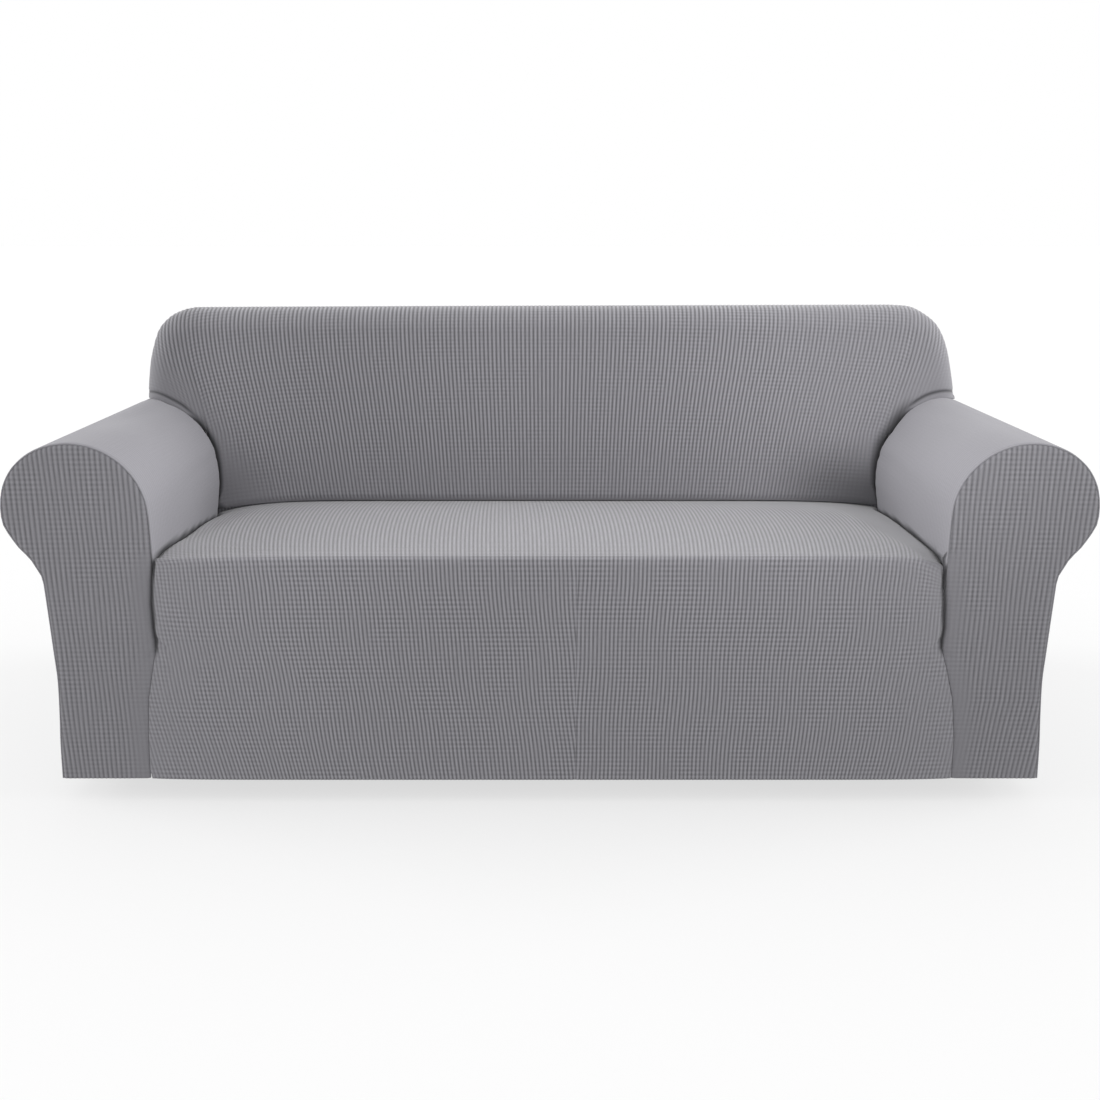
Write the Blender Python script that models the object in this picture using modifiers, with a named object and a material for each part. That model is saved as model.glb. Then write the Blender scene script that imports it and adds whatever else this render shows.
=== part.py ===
# Stretch slipcover, three seats wide, with rolled arms: seven knitted panels sewn edge to edge,
# hollow and open at the hem. X runs along its length, Y from the arm fronts to the rear, Z up.
# Every panel is laid out from the hem and the arm fronts; the origin then moves to the underside
# of the top edge, at the middle, where the cover is held up.
import math

import bpy
import numpy as np

# Sizes in metres, angles in degrees
CLOTH = 0.0025          # ribbed knit, stretched
GAP = 0.0003            # between two panels at a seam
LIFT = 0.0030           # between the back's foot and the cloth it stands on
REAR = 0.870            # outer face of the outside back
ORIGIN = (0.0, 0.720, 0.827)

# The roll of an arm, a circle in section, a little swollen at its upper outer side
ROLL_X = 0.8455
ROLL_Z = 0.5115
ROLL_R = 0.1295
SWELL = 0.0042
SWELL_AT = 38.0
SWELL_POWER = 6         # high is narrow
ROLL_FROM = 180.0       # inner side
ROLL_TO = -6.0          # under the outer side
ARM_TUCK = (            # x, z of the arm's inner side, from its tucked edge up to the roll
    (0.7145, 0.3750),
    (0.7150, 0.4200),
    (0.7155, 0.4500),
)
ARM_SIDE = (            # x, z of the arm's outer side, from under the roll down to the hem
    (0.9640, 0.4742),
    (0.9497, 0.4510),
    (0.9352, 0.4350),
    (0.9245, 0.4150),
    (0.9162, 0.3960),
    (0.9143, 0.3630),
    (0.9115, 0.2510),
    (0.9105, 0.1980),
    (0.9145, 0.1310),
    (0.9195, 0.0700),
    (0.9230, 0.0000),
)
ARM_COLUMNS_TO_CREASE = (0.0, 0.3, 0.6, 0.8, 0.895, 0.93, 0.965, 1.0)
ARM_COLUMNS_BEHIND = (0.35, 1.0)
REAR_FROM = 0.868       # past this x the arm's cloth begins to run on to the rear seam
REAR_OVER = 0.026       # and this much further out all of it does
TUCK = 0.012            # cloth that runs on behind a crease
GROOVE = 0.018          # how deep the arm's cloth sinks where the back meets it
GROOVE_WIDE = 0.055
GROOVE_FULL = 120.0     # angle on the roll down to which the groove is at its deepest
GROOVE_GONE = 52.0      # and where it has run out

# The back
FACE_FOOT = (0.525, 0.415)   # y, z of the inside back where it leaves the seat
RAKE = 0.36                  # metres back for each metre up
CROWN = 0.010                # how far the middle of the inside back stands forward
CROWN_HALF = 0.80            # half the width of the crown
CROWN_FROM = 0.40            # its lowest z
CROWN_RISE = 0.44            # its height
FOOT_SINK = 0.012            # how far the inside back turns rearward into its creases
SINK_WIDE = 0.030
EDGE_ROUND = 0.050           # width of the rounded edge, measured on the face
EDGE_DEEP = 0.040            # its depth in Y
TOP_FALL = 0.020             # the top falls this much to the rear seam
END_NARROW = 0.004           # and its ends draw in
BACK_EDGE = (                # x, z of the back's outline, left then right, from arm to middle
    (0.9112, 0.6318, 0.9150, 0.6296),
    (0.9118, 0.6530, 0.9157, 0.6515),
    (0.9108, 0.6820, 0.9110, 0.6945),
    (0.9076, 0.7190, 0.9052, 0.7315),
    (0.8965, 0.7650, 0.8953, 0.7644),
    (0.8848, 0.7885, 0.8803, 0.7912),
    (0.8640, 0.8080, 0.8563, 0.8113),
    (0.8415, 0.8188, 0.8255, 0.8270),
    (0.8150, 0.8250, 0.7904, 0.8310),
    (0.7700, 0.8265, 0.7300, 0.8317),
    (0.4000, 0.8283, 0.4000, 0.8308),
    (0.0000, 0.8297, 0.0000, 0.8297),
)
FOOT_END = 66.0              # angle on the roll where the back's foot starts
SEAT_CORNER = (0.70, 0.405)  # x, z where seat, arm and back come together
CORNER_CLEAR = 0.002         # the foot turns onto the seat this far above its own gap
TOP_SPLIT = 0.25             # share of the outline above the columns that start on an arm
LEAN = 2.6                   # power: the columns rise straight from the foot, then lean outward
HUG_TO = 0.590               # up to here they keep clear of the arm's inner side
BACK_ROWS = (0.0, 0.04, 0.12, 0.20, 0.30, 0.46, 0.64, 0.78, 0.87, 0.93, 0.965, 0.988, 1.0)
BACK_TOP_ROWS = (0.45, 1.0)  # share of the way from the rounded edge to the rear seam

# The seat and apron: one cloth from the front hem to the rear crease
SEAT_ROWS = (           # y, z at the middle, z at the sides
    (-0.0060, 0.0000, 0.0000),
    (-0.0080, 0.0800, 0.0800),
    (-0.0100, 0.1600, 0.1600),
    (-0.0130, 0.2350, 0.2350),
    (-0.0145, 0.2620, 0.2620),
    (-0.0170, 0.3000, 0.3000),
    (-0.0190, 0.3450, 0.3450),
    (-0.0200, 0.3900, 0.3880),
    (-0.0198, 0.4200, 0.4080),
    (-0.0170, 0.4340, 0.4190),
    (-0.0100, 0.4392, 0.4240),
    (0.0050, 0.4405, 0.4265),
    (0.0600, 0.4408, 0.4300),
    (0.2000, 0.4380, 0.4290),
    (0.3400, 0.4320, 0.4250),
    (0.4300, 0.4250, 0.4180),
    (0.4800, 0.4200, 0.4080),
    (0.5150, 0.4160, 0.3980),
    (0.5500, 0.4120, 0.3930),
)
SEAT_FLAT = 12          # power of the apron's bulge: high is flat with quick ends
SEAT_CROWN = 2.5        # power of the deck's crown
SEAT_CLEAR = 0.0012     # between the deck's side and the arm's inner face
SEAT_EASE = 0.012       # the deck draws in by up to a quarter of this where the groove begins
SEAM_END = 0.002        # y where the front seam ends
SEAM_TURN = 0.030       # length over which the deck's side then passes to the arm's inner face
SEAM = (                # z, then x of the seam between apron and arm front, left and right
    (0.0000, 0.7570, 0.7600),
    (0.0800, 0.7530, 0.7580),
    (0.1600, 0.7460, 0.7480),
    (0.2350, 0.7235, 0.7225),
    (0.2620, 0.7195, 0.7155),
    (0.3000, 0.7255, 0.7200),
    (0.3450, 0.7260, 0.7185),
    (0.3900, 0.7215, 0.7130),
    (0.4340, 0.7135, 0.7080),
)

# How finely the shapes are read
CURVE_STEPS = 12        # points of a soft curve from one row to the next
ROLL_STEP = 15.0        # degrees
FOOT_STEP = 6.0         # the same where the back's foot runs over the roll
REAR_STEP = 12.0        # and round the roll's end at the rear
ARM_POINTS = 38         # along an arm's section
SEAT_COLUMNS = 27
ARM_COLUMNS = 17        # columns of the back that start on an arm, half the back
SEAT_HALF_COLUMNS = 14  # columns that start on the seat, half the back
OUTLINE_POINTS = 240    # half the back's outline
FOOT_ARM_POINTS = 80
FOOT_SEAT_POINTS = 60
FRONT_POINTS = 40       # an arm front's outline without its seam
REAR_ARM_POINTS = 30    # the outside back's outline beside one arm
REAR_EDGE_POINTS = 26   # and from there to the middle of the top

COLOUR = {              # linear red, green, blue
    "front": (0.205, 0.202, 0.222),
    "top": (0.370, 0.366, 0.392),
}
ROUGHNESS = 0.9


def smooth(t):
    # An even ramp from 0 to 1, level at both ends
    t = np.clip(t, 0.0, 1.0)
    return t * t * (3.0 - 2.0 * t)


def curve_through(rows, count):
    # A soft curve through the rows, read at even distances along it
    p = np.array(rows, float)
    ends = np.vstack([2 * p[0] - p[1], p, 2 * p[-1] - p[-2]])
    t = np.linspace(0.0, 1.0, CURVE_STEPS, endpoint=False)[:, None]
    spans = []
    for a, b, c, d in zip(ends, ends[1:], ends[2:], ends[3:]):
        bend = (2 * a - 5 * b + 4 * c - d) * t + (3 * b - a - 3 * c + d) * t * t
        spans.append(b + 0.5 * t * (c - a + bend))
    fine = np.vstack(spans + [p[-1:]])
    return read_at(fine, np.linspace(0.0, 1.0, count))


def read_at(line, shares):
    # Points of a line at the given shares of its length
    run = np.r_[0.0, np.cumsum(np.linalg.norm(np.diff(line, axis=0), axis=1))]
    at = np.asarray(shares) * run[-1]
    return np.stack([np.interp(at, run, line[:, k]) for k in range(line.shape[1])], axis=1)


def roll_arc(first, last, step=ROLL_STEP):
    # Points of the roll between two angles, x and z
    count = max(2, int(abs(last - first) / step) + 1)
    a = np.radians(np.linspace(first, last, count))
    lobe = np.maximum(0.0, np.cos(a - math.radians(SWELL_AT))) ** SWELL_POWER
    radius = ROLL_R + SWELL * lobe
    return np.stack([ROLL_X + radius * np.cos(a), ROLL_Z + radius * np.sin(a)], axis=1)


def arm_section(count):
    # Outer face of an arm's cloth, x and z, from the tucked inner edge to the outer hem
    return curve_through(np.vstack([ARM_TUCK, roll_arc(ROLL_FROM, ROLL_TO), ARM_SIDE]), count)


def outward(section):
    # Unit normals of the section, pointing out of the arm
    along = np.gradient(section, axis=0)
    out = np.stack([-along[:, 1], along[:, 0]], axis=1)
    return out / np.linalg.norm(out, axis=1)[:, None]


def groove(section):
    # Depth of the groove at each point of the section: full inside and on top, gone outside
    x, z = section.T
    angle = np.degrees(np.arctan2(z - ROLL_Z, x - ROLL_X))
    inside = (angle > GROOVE_FULL) | ((x < ROLL_X) & (z < ROLL_Z))
    share = smooth((angle - GROOVE_GONE) / (GROOVE_FULL - GROOVE_GONE))
    share = np.where(inside, 1.0, share)
    share = np.where((x > ROLL_X) & (z < ROLL_Z), 0.0, share)
    return GROOVE * share


def face_y(x, z):
    # The inside back: a raked plane, a little crowned
    crown = CROWN * np.clip(1.0 - (x / CROWN_HALF) ** 2, 0.0, 1.0)
    crown = crown * np.sin(np.pi * np.clip((z - CROWN_FROM) / CROWN_RISE, 0.0, 1.0))
    return FACE_FOOT[0] + RAKE * (z - FACE_FOOT[1]) - crown


def crease_y(x, z):
    # Where the back's foot lies
    return face_y(x, z) + FOOT_SINK


def cover_material(name, colour):
    material = bpy.data.materials.new(name + "_knit")
    material.use_nodes = True
    shader = material.node_tree.nodes["Principled BSDF"]
    shader.inputs["Base Color"].default_value = (*colour, 1.0)
    shader.inputs["Roughness"].default_value = ROUGHNESS
    shader.inputs["Metallic"].default_value = 0.0
    return material


def place(item, collection, holder):
    collection.objects.link(item)
    item.parent = holder


def sheet(name, grid, collection, holder, colour):
    # A loft of rows of points, its outer face given, thickened inward
    rows, columns = grid.shape[:2]
    at = np.arange(rows * columns).reshape(rows, columns)
    a, b = at[:-1, :-1].ravel(), at[:-1, 1:].ravel()
    c, d = at[1:, 1:].ravel(), at[1:, :-1].ravel()
    mesh = bpy.data.meshes.new(name)
    mesh.from_pydata(grid.reshape(-1, 3).tolist(), [], np.stack([a, b, c, d], axis=1).tolist())
    mesh.shade_smooth()
    mesh.materials.append(cover_material(name, colour))
    panel = bpy.data.objects.new(name, mesh)
    place(panel, collection, holder)
    wall = panel.modifiers.new("cloth", "SOLIDIFY")
    wall.thickness = CLOTH
    wall.offset = -1.0


def flat_panel(name, outline, y, collection, holder, colour):
    # A flat cut outline, x and z, its middle at the given y
    curve = bpy.data.curves.new(name, "CURVE")
    curve.dimensions = "2D"
    curve.fill_mode = "BOTH"
    curve.extrude = CLOTH / 2
    line = curve.splines.new("POLY")
    line.points.add(len(outline) - 1)
    for point, (x, z) in zip(line.points, outline):
        point.co = (x, z, 0.0, 1.0)
    line.use_cyclic_u = True
    curve.materials.append(cover_material(name, colour))
    panel = bpy.data.objects.new(name, curve)
    panel.rotation_euler = (math.pi / 2, 0.0, 0.0)
    panel.location = (0.0, y, 0.0)
    place(panel, collection, holder)


def arm_grid(side):
    # Rows run along the section, columns from the front seam to the crease or the rear seam
    section = arm_section(ARM_POINTS)
    out = outward(section)
    sink = groove(section)
    sunk = section - out * sink[:, None]
    crease = crease_y(sunk[:, 0], sunk[:, 1])
    x, z = section.T
    beyond = smooth((x - REAR_FROM) / REAR_OVER)
    beyond = np.where(z < ROLL_Z, (x > ROLL_X).astype(float), beyond)
    end = (1.0 - beyond) * (crease + TUCK) + beyond * (REAR - CLOTH - GAP)
    start = CLOTH + GAP
    lines = [start + (crease - start) * t for t in ARM_COLUMNS_TO_CREASE]
    lines += [crease + (end - crease) * t for t in ARM_COLUMNS_BEHIND]
    columns = []
    for y in lines:
        inset = sink * (1.0 - smooth((crease - y) / GROOVE_WIDE))
        point = section - out * inset[:, None]
        columns.append(np.stack([side * point[:, 0], y, point[:, 1]], axis=1))
    grid = np.stack(columns, axis=1)
    return grid[::-1] if side > 0 else grid


def seam_x(z, side):
    table = np.array(SEAM)
    return np.interp(z, table[:, 0], table[:, 2 if side > 0 else 1])


def seat_edge(y, z, side):
    # Half the seat's width at one side: the seam at the front, the arm's inner face behind it
    inner = ARM_TUCK[0][0]
    sunk = 1.0 - smooth((crease_y(inner, z) - y) / GROOVE_WIDE)
    arm = inner + GROOVE * sunk - SEAT_CLEAR - SEAT_EASE * sunk * (1.0 - sunk)
    behind = smooth((y - SEAM_END) / SEAM_TURN)
    return (seam_x(z, side) - 1.5 * GAP) * (1.0 - behind) + arm * behind


def seat_grid():
    # Rows from the front hem over the front edge to the rear tuck, columns from arm to arm
    across = np.sin(np.linspace(-0.5, 0.5, SEAT_COLUMNS) * math.pi)
    grid = []
    for y_mid, z_mid, z_side in SEAT_ROWS:
        y_side = max(y_mid, 0.0)
        edge = np.where(across < 0, seat_edge(y_side, z_side, -1), seat_edge(y_side, z_side, 1))
        bulge = 1.0 - np.abs(across) ** SEAT_FLAT
        y = y_side + (y_mid - y_side) * bulge
        z = z_side + (z_mid - z_side) * (1.0 - np.abs(across) ** SEAT_CROWN)
        grid.append(np.stack([across * edge, y, z], axis=1))
    return np.array(grid)


def back_outline(side):
    # One half of the back's outline, x and z, finely read
    table = np.array(BACK_EDGE)
    return curve_through(table[:, 2:] if side > 0 else table[:, :2], OUTLINE_POINTS)


def foot_line():
    # Half of the back's foot, x and z: from its end on the roll, down the arm's inner side,
    # along the seat crease to the middle
    arc = roll_arc(ROLL_FROM, FOOT_END, FOOT_STEP)
    side = curve_through(np.vstack([ARM_TUCK, arc]), FOOT_ARM_POINTS)
    down = side - outward(side) * (groove(side) - LIFT)[:, None]
    rows = np.array(SEAT_ROWS)
    corner_y = crease_y(*SEAT_CORNER)
    z_mid = np.interp(corner_y, rows[:, 0], rows[:, 1])
    z_side = np.interp(corner_y, rows[:, 0], rows[:, 2])
    down = down[down[:, 1] > z_side + LIFT + CORNER_CLEAR]
    edge = seat_edge(corner_y, z_side, 1)
    x = np.linspace(down[0, 0], 0.0, FOOT_SEAT_POINTS)
    z = z_side + (z_mid - z_side) * (1.0 - np.clip(x / edge, 0.0, 1.0) ** SEAT_CROWN) + LIFT
    seat = np.stack([x, z], axis=1)
    return down[::-1], seat[1:]


def rear_edge(point):
    # A point of the back's outline as it is at the rear seam
    low = BACK_EDGE[0][1]
    high = BACK_EDGE[-1][1]
    rise = max(0.0, (point[1] - low) / (high - low))
    return point[0] - END_NARROW * rise, point[1] - TOP_FALL * rise


def half_back(side):
    # Columns from the back's end to its middle: each fans from the foot up the face, over the
    # rounded edge and back to the rear seam
    outline = back_outline(side)
    on_arm, on_seat = foot_line()
    on_seat = np.vstack([on_arm[-1:], on_seat])
    low = np.vstack([
        read_at(on_arm, np.linspace(0.0, 1.0, ARM_COLUMNS)),
        read_at(on_seat, np.linspace(0.0, 1.0, SEAT_HALF_COLUMNS + 1))[1:],
    ])
    top = read_at(outline, np.r_[
        np.linspace(0.0, TOP_SPLIT, ARM_COLUMNS),
        np.linspace(TOP_SPLIT, 1.0, SEAT_HALF_COLUMNS + 1)[1:],
    ])
    arm_x, arm_z = on_arm[::-1].T
    w = np.array(BACK_ROWS)
    columns = []
    for q, f in zip(top, low):
        x = f[0] + (q[0] - f[0]) * w ** LEAN
        z = f[1] + (q[1] - f[1]) * w
        # none of them cuts through the arm that it rises beside
        clear = np.minimum(x, np.interp(z, arm_z, arm_x) - LIFT)
        x[1:] = np.where(z[1:] < HUG_TO, clear[1:], x[1:])
        away = np.hypot(x[:, None] - outline[:, 0], z[:, None] - outline[:, 1]).min(axis=1)
        turn = np.clip(1.0 - away / EDGE_ROUND, 0.0, 1.0)
        from_foot = np.hypot(x - f[0], z - f[1])
        y = face_y(x, z) + EDGE_DEEP * (1.0 - np.sqrt(1.0 - turn * turn))
        y = y + FOOT_SINK * (1.0 - smooth(from_foot / SINK_WIDE))
        face = np.stack([x, y, z], axis=1)
        rear_x, rear_z = rear_edge(q)
        rear = np.array([rear_x, REAR - CLOTH - GAP, rear_z])
        top_rows = [face[-1] + (rear - face[-1]) * t for t in BACK_TOP_ROWS]
        columns.append(np.vstack([face, top_rows]))
    half = np.array(columns).transpose(1, 0, 2)
    half[:, :, 0] *= side
    return half


def back_grid():
    # Both halves, from left to right, the middle column once
    return np.concatenate([half_back(-1), half_back(1)[:, ::-1][:, 1:]], axis=1)


def arm_front_outline(side):
    # Up the seam with the apron, over the roll and down the outer side
    table = np.array(SEAM)
    seam = np.stack([table[:, 2 if side > 0 else 1], table[:, 0]], axis=1)
    rest = np.vstack([ARM_TUCK[-1:], roll_arc(ROLL_FROM, ROLL_TO), ARM_SIDE])
    rest = curve_through(rest, FRONT_POINTS)
    outline = np.vstack([seam, rest])
    return [(side * x, z) for x, z in outline]


def half_rear(side):
    # Rear silhouette of one side: the arm's outer side, the end of its roll, the back's edge
    outline = back_outline(side)
    junction = math.degrees(math.acos((outline[0, 0] - ROLL_X) / (ROLL_R + SWELL)))
    roll = roll_arc(ROLL_TO, junction, REAR_STEP)
    arm = curve_through(np.vstack([ARM_SIDE[::-1], roll]), REAR_ARM_POINTS)
    edge = read_at(outline, np.linspace(0.0, 1.0, REAR_EDGE_POINTS))
    edge = np.array([rear_edge(p) for p in edge])
    half = np.vstack([arm, edge])
    half[:, 0] *= side
    return half


def outside_back_outline():
    return np.vstack([half_rear(1), half_rear(-1)[-2::-1]])


def build():
    for item in list(bpy.data.objects):
        bpy.data.objects.remove(item, do_unlink=True)
    collection = bpy.data.collections.new("Sofa slipcover")
    bpy.context.scene.collection.children.link(collection)
    holder = bpy.data.objects.new("cover_origin", None)
    holder.location = [-v for v in ORIGIN]
    collection.objects.link(holder)
    sheet("seat_panel", seat_grid(), collection, holder, COLOUR["top"])
    sheet("back_panel", back_grid(), collection, holder, COLOUR["front"])
    for word, side in (("left", -1), ("right", 1)):
        sheet("arm_panel_" + word, arm_grid(side), collection, holder, COLOUR["top"])
        outline = arm_front_outline(side)
        flat_panel("arm_front_" + word, outline, CLOTH / 2, collection, holder, COLOUR["front"])
    outline = outside_back_outline()
    flat_panel("outside_back", outline, REAR - CLOTH / 2, collection, holder, COLOUR["front"])


build()
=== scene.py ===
import math

import bpy
import numpy as np
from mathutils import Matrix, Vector


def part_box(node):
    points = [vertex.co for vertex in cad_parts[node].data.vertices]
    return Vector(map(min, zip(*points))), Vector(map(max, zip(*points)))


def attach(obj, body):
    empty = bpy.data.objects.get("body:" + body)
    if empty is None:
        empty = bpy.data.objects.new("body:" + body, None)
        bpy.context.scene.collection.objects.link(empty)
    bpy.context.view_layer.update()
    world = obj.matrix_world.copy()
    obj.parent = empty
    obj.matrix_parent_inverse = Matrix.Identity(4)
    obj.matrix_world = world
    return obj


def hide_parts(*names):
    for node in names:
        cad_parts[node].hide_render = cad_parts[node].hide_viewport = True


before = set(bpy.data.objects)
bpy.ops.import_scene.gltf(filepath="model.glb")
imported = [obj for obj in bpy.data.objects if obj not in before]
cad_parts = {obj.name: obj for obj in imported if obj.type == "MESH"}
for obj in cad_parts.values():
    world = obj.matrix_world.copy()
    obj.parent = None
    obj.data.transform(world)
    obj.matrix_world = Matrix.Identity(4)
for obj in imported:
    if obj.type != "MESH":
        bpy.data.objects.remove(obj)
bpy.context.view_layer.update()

print("frame loaded:", len(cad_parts), "panels")

# Lengths run from the hem (z), the arm fronts (y) and the middle of the seat (x), in metres.
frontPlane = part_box("arm_front_left")[0][1]
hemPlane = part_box("seat_panel")[0][2]
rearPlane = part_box("outside_back")[1][1] - frontPlane
toFrame = np.array([0.0, frontPlane, hemPlane])

knit = {
    "thickness": 0.0022,
    "relief": 0.0013,  # how far a rib stands above the groove beside it
    "round": 1.2,  # power of the rib's sine
    "perRib": 4,  # columns of points in a rib
    "liningStep": 4,  # the inner side has one column in this many
    "seam": 0.00015,  # half the gap between two panels
    "probe": 0.0006,  # step across, for a surface's normal
    "probeLong": 0.0015,  # step along, as a share of all the rows' length
    "rearGap": 0.0006,  # between a panel's inner side and the outside back
}
atRear = rearPlane - knit["thickness"] - knit["rearGap"]


def smooth(t):
    # even ramp: 3 t squared less 2 t cubed, t held between 0 and 1
    t = np.clip(t, 0.0, 1.0)
    return t * t * (3.0 - 2.0 * t)


def grows(value, start, wide):
    # even ramp from 0 at the start to 1 a width further
    return smooth((value - start) / wide)


def fades(value, start, wide):
    # one less that ramp
    return 1.0 - smooth((value - start) / wide)


def curveThrough(rows, count):
    # Catmull-Rom curve through the rows, then read at even steps of its length
    p = np.array(rows, float)
    ends = np.vstack([2 * p[0] - p[1], p, 2 * p[-1] - p[-2]])
    t = np.linspace(0.0, 1.0, 24, endpoint=False)[:, None]
    spans = []
    for a, b, c, d in zip(ends, ends[1:], ends[2:], ends[3:]):
        bend = (2 * a - 5 * b + 4 * c - d) * t + (3 * b - a - 3 * c + d) * t * t
        spans.append(b + 0.5 * t * (c - a + bend))
    fine = np.vstack(spans + [p[-1:]])
    run = lengthAlong(fine)
    at = np.linspace(0.0, run[-1], count)
    return np.stack([np.interp(at, run, fine[:, k]) for k in range(p.shape[1])], axis=1)


def rimFall(away, wide):
    # a quarter circle's fall: 1 at the rim, 0 a width in
    t = np.clip(1.0 - away / wide, 0.0, 1.0)
    return 1.0 - np.sqrt(1.0 - t * t)


def lengthAlong(line):
    # running sum of the distances between a line's points
    return np.r_[0.0, np.cumsum(np.linalg.norm(np.diff(line, axis=0), axis=1))]


def acrossAt(z, line):
    # a line's x at these heights
    return np.interp(z, line[:, 1], line[:, 0])


def spaced(*stretches):
    # row places: each stretch is (from, to, step), joined end to end
    parts = [np.linspace(a, b, max(2, round((b - a) / step) + 1)) for a, b, step in stretches]
    return np.unique(np.round(np.concatenate(parts), 7))


def evenLines(first, wide, pitch, rows):
    # the same even rib lines in every row
    count = int(wide / pitch * knit["perRib"])
    line = first + np.arange(count) * pitch / knit["perRib"]
    return np.repeat(line[None], len(rows), axis=0)


def nearest(x, z, line):
    # least distance from each point to the line's stretches, each met at a right angle or its end
    spot = np.stack([x.ravel(), z.ravel()], axis=1)
    best = np.full(len(spot), np.inf)
    for a, b in zip(line[:-1], line[1:]):
        along = b - a
        t = np.clip(((spot - a) @ along) / (along @ along + 1e-12), 0.0, 1.0)
        best = np.minimum(best, np.linalg.norm(spot - a - t[:, None] * along, axis=1))
    return best.reshape(x.shape)


def foldField(x, z, folds):
    # soft troughs (minus) and ridges: depth times a bell curve across, fading past both ends
    height = np.zeros_like(x)
    for x0, z0, x1, z1, width, depth in folds:
        along = np.array([x1 - x0, z1 - z0])
        length = np.hypot(*along)
        t = ((x - x0) * along[0] + (z - z0) * along[1]) / length ** 2
        off = np.abs((x - x0) * along[1] - (z - z0) * along[0]) / length
        ends = smooth((t + 0.25) / 0.35) * smooth((1.25 - t) / 0.5)
        height = height + depth * np.exp(-(off / width) ** 2) * ends
    return height


def ribShape(u):
    # narrow rounded rib: sine to a power above one
    return np.abs(np.sin(np.pi * u)) ** knit["round"]


def plainLook(x, v):
    # ribs at full strength, no painted crease shade
    return np.ones_like(x), np.zeros_like(x)


def put(name, data):
    # a new object with this data, at the origin
    thing = bpy.data.objects.new(name, data)
    bpy.context.scene.collection.objects.link(thing)
    return thing


def layCloth(name, rows, lines, low, high, surface, raised, look=plainLook, flip=False):
    # The outer face is surface(x, row) moved out by raised(x, row, u), along the ribs' lines cut
    # off at the edges; the inner face is the same surface one thickness in, with fewer columns.
    step = knit["liningStep"]
    count, wide = lines.shape
    x = np.clip(lines, low, high)
    v = np.repeat(rows[:, None], wide, axis=1)
    pitch = np.maximum(np.gradient(lines, axis=1), 1e-6)
    u = (np.arange(wide) + (x - lines) / pitch) / knit["perRib"]
    base = surface(x, v)
    dx = knit["probe"]
    dv = (rows[-1] - rows[0]) * knit["probeLong"]
    across = surface(x + dx, v) - surface(x - dx, v)
    along = surface(x, np.minimum(v + dv, rows[-1])) - surface(x, np.maximum(v - dv, rows[0]))
    normal = np.cross(across, along)
    normal /= np.linalg.norm(normal, axis=2)[:, :, None] + 1e-12
    if flip:
        normal = -normal
    outer = base + normal * raised(x, v, u)[:, :, None]
    inner = (base - normal * knit["thickness"])[:, ::step]
    return clothMesh(name, outer, inner, x, u, v, look(x, v), flip)


def mergedColumns(x):
    # in each row, columns at the same place share the first one's point
    fresh = np.ones(x.shape, bool)
    fresh[:, 1:] = np.abs(np.diff(x, axis=1)) > 1e-7
    return np.maximum.accumulate(np.where(fresh, np.arange(x.shape[1]), 0), axis=1)


def gridFaces(own, flip):
    # squares of a grid whose columns share points; a square with two corners in one is a triangle
    count, wide = own.shape
    plain = np.arange(count * wide).reshape(count, wide)
    shared = plain - plain % wide + own

    def corners(g):
        # four corners of each square, turned round when the face looks the other way
        order = [g[:-1, :-1], g[:-1, 1:], g[1:, 1:], g[1:, :-1]]
        return np.stack([part.ravel() for part in (order[::-1] if flip else order)], axis=1)

    points, places = corners(shared), corners(plain)
    double = points == np.roll(points, -1, axis=1)
    times = double.sum(axis=1)
    four = times == 0
    three = times == 1
    keep = ~double[three]
    return (points[four], places[four],
            points[three][keep].reshape(-1, 3), places[three][keep].reshape(-1, 3), shared)


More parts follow.
